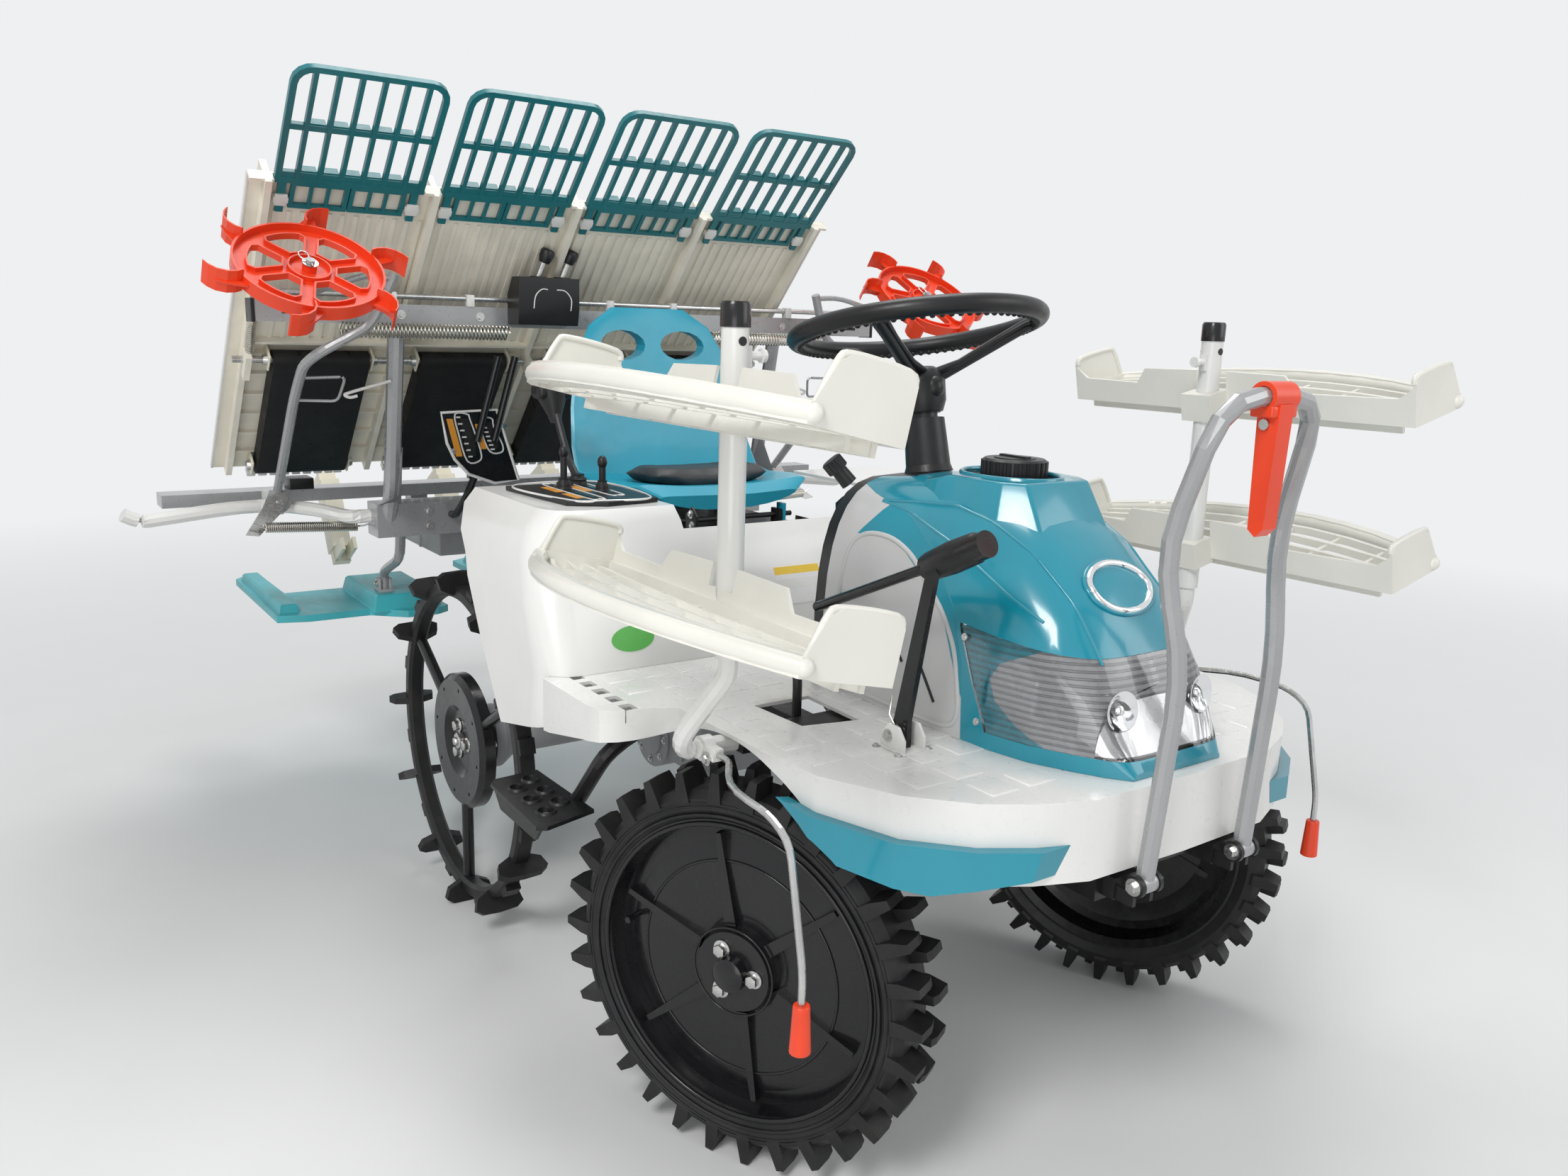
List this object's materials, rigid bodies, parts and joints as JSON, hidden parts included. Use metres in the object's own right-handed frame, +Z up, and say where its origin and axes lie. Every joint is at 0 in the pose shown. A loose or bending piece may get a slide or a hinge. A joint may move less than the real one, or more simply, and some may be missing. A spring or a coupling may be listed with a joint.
{
  "type": "ride on rice transplanter",
  "caption": "Ride-on rice transplanter with steered front wheels, seedling racks, driver seat and a raised rear planting unit with a sliding seedling stage.",
  "frame": {"origin": "on the ground, at the middle of the whole machine seen from above", "axes": "X points to the front of the machine, Y to its left side, Z up"},
  "size_m": [2.4474, 1.9154, 1.5267],
  "materials": {
    "black_paint": "semi_gloss",
    "white_paint": "gloss",
    "grey_paint": "semi_gloss",
    "grey_casting": "satin",
    "bright_steel": "satin",
    "white_plastic": "gloss",
    "teal_plastic": "gloss",
    "deep_teal_plastic": "matte",
    "light_grey_plastic": "satin",
    "lamp_silver": "gloss",
    "clear_lens": "gloss",
    "black_plastic": "satin",
    "cream_plastic": "satin",
    "red_plastic": "gloss",
    "black_tyre": "matte",
    "black_rubber": "matte",
    "seat_vinyl": "satin"
  },
  "bodies": {
    "chassis": {"frame": "black_paint", "engine_block": "grey_casting", "transmission_case": "grey_casting", "front_axle": "grey_casting", "rear_axle": "grey_casting", "deck": "white_plastic", "side_bumpers": "teal_plastic", "hood": "teal_plastic", "side_panels": "light_grey_plastic", "lamp_lens": "clear_lens", "lamp_body": "lamp_silver", "caps": "black_plastic", "dash": "black_plastic", "body_cover": "white_plastic", "control_panel": "black_plastic", "control_levers": "black_plastic", "footsteps": "black_paint", "rack_poles": "white_paint", "upper_racks": "cream_plastic", "lower_racks": "cream_plastic", "marker_rods": "bright_steel", "rod_grips": "red_plastic", "foot_pedals": "black_paint", "hand_lever": "black_paint"},
    "steering_knuckle_right": {"knuckle_right": "grey_casting"},
    "steering_knuckle_left": {"knuckle_left": "grey_casting"},
    "front_wheel_right": {"front_rim_right": "black_paint", "front_tyre_right": "black_tyre"},
    "front_wheel_left": {"front_rim_left": "black_paint", "front_tyre_left": "black_tyre"},
    "rear_wheel_right": {"rear_hub_right": "black_paint", "rear_tyre_right": "black_tyre"},
    "rear_wheel_left": {"rear_hub_left": "black_paint", "rear_tyre_left": "black_tyre"},
    "steering_wheel_body": {"steering_wheel": "black_plastic"},
    "handle_body": {"front_handle": "grey_paint", "brake_lever": "red_plastic"},
    "seat_body": {"seat_shell": "teal_plastic", "seat_cushion": "seat_vinyl"},
    "lower_link_body": {"lower_links": "black_paint"},
    "upper_link_body": {"upper_link": "black_paint"},
    "planting_unit": {"planting_frame": "grey_paint", "planting_cases": "grey_casting", "bumper_tubes": "white_paint", "floats": "teal_plastic", "springs": "bright_steel", "notch_plate": "black_paint", "clutch_box": "black_plastic"},
    "stage_body": {"stage": "cream_plastic", "belts": "black_rubber", "belt_shaft": "bright_steel", "extension_racks": "deep_teal_plastic"},
    "marker_arm_body_right": {"marker_arm_right": "grey_paint"},
    "marker_arm_body_left": {"marker_arm_left": "grey_paint"},
    "marker_wheel_right": {"marker_disc_right": "red_plastic"},
    "marker_wheel_left": {"marker_disc_left": "red_plastic"},
    "rotor_body_right": {"rotor_right": "cream_plastic"},
    "rotor_body_left": {"rotor_left": "cream_plastic"}
  },
  "joints": [
    {"name": "steer_right", "type": "hinge", "parent": "chassis", "child": "steering_knuckle_right", "pos_m": [0.74925, -0.362, 0.281], "axis": [0, 0, 1], "range_deg": [-65, 15]},
    {"name": "steer_left", "type": "hinge", "parent": "chassis", "child": "steering_knuckle_left", "pos_m": [0.74925, 0.362, 0.281], "axis": [0, 0, 1], "range_deg": [-65, 15]},
    {"name": "front_wheel_right_spin", "type": "hinge", "parent": "steering_knuckle_right", "child": "front_wheel_right", "pos_m": [0.7703, -0.40735, 0.281], "axis": [-0.421, 0.907, 0], "continuous": true},
    {"name": "front_wheel_left_spin", "type": "hinge", "parent": "steering_knuckle_left", "child": "front_wheel_left", "pos_m": [0.7282, 0.40735, 0.281], "axis": [-0.421, 0.907, 0], "continuous": true},
    {"name": "rear_wheel_right_spin", "type": "hinge", "parent": "chassis", "child": "rear_wheel_right", "pos_m": [-0.13075, -0.47, 0.333], "axis": [0, 1, 0], "continuous": true},
    {"name": "rear_wheel_left_spin", "type": "hinge", "parent": "chassis", "child": "rear_wheel_left", "pos_m": [-0.13075, 0.47, 0.333], "axis": [0, 1, 0], "continuous": true},
    {"name": "steering_wheel_turn", "type": "hinge", "parent": "chassis", "child": "steering_wheel_body", "pos_m": [0.61328, 0, 1.00684], "axis": [-0.2079, 0, 0.9781], "range_deg": [-520, 120]},
    {"name": "front_handle_fold", "type": "hinge", "parent": "chassis", "child": "handle_body", "pos_m": [1.17025, 0, 0.485], "axis": [0, 1, 0], "range_deg": [0, 75]},
    {"name": "seat_tip", "type": "hinge", "parent": "chassis", "child": "seat_body", "pos_m": [0.05725, 0, 0.764], "axis": [0, 1, 0], "range_deg": [0, 40]},
    {"name": "lift", "type": "hinge", "parent": "chassis", "child": "lower_link_body", "pos_m": [-0.27405, 0, 0.3731], "axis": [0, -1, 0], "range_deg": [0, 49]},
    {"name": "upper_link_swing", "type": "hinge", "parent": "chassis", "child": "upper_link_body", "pos_m": [-0.27405, 0, 0.5031], "axis": [0, -1, 0], "range_deg": [0, 49]},
    {"name": "unit_level", "type": "hinge", "parent": "lower_link_body", "child": "planting_unit", "pos_m": [-0.54405, 0, 0.58787], "axis": [0, -1, 0], "range_deg": [-49, 0]},
    {"name": "stage_shift", "type": "slide", "parent": "planting_unit", "child": "stage_body", "axis": [0, 1, 0], "range_m": [0, 0.27]},
    {"name": "marker_arm_right_swing", "type": "hinge", "parent": "planting_unit", "child": "marker_arm_body_right", "pos_m": [-0.74075, -0.653, 0.725], "axis": [1, 0, 0], "range_deg": [0, 80]},
    {"name": "marker_arm_left_swing", "type": "hinge", "parent": "planting_unit", "child": "marker_arm_body_left", "pos_m": [-0.74075, 0.653, 0.725], "axis": [-1, 0, 0], "range_deg": [0, 80]},
    {"name": "marker_wheel_right_spin", "type": "hinge", "parent": "marker_arm_body_right", "child": "marker_wheel_right", "pos_m": [-0.18575, -0.698, 1.208], "axis": [0.5842, 0.0146, 0.8114], "continuous": true},
    {"name": "marker_wheel_left_spin", "type": "hinge", "parent": "marker_arm_body_left", "child": "marker_wheel_left", "pos_m": [-0.18575, 0.698, 1.208], "axis": [0.5842, -0.0146, 0.8114], "continuous": true},
    {"name": "rotor_right_spin", "type": "hinge", "parent": "planting_unit", "child": "rotor_body_right", "pos_m": [-1.08575, -0.3, 0.628], "axis": [0, 1, 0], "continuous": true},
    {"name": "rotor_left_spin", "type": "hinge", "parent": "planting_unit", "child": "rotor_body_left", "pos_m": [-1.08575, 0.3, 0.628], "axis": [0, 1, 0], "continuous": true}
  ],
  "couplings": [
    {"joint": "steer_left", "follows": "steer_right", "ratio": 1},
    {"joint": "steering_wheel_turn", "follows": "steer_right", "ratio": 8},
    {"joint": "upper_link_swing", "follows": "lift", "ratio": 1},
    {"joint": "unit_level", "follows": "lift", "ratio": -1},
    {"joint": "rotor_left_spin", "follows": "rotor_right_spin", "ratio": 1}
  ]
}
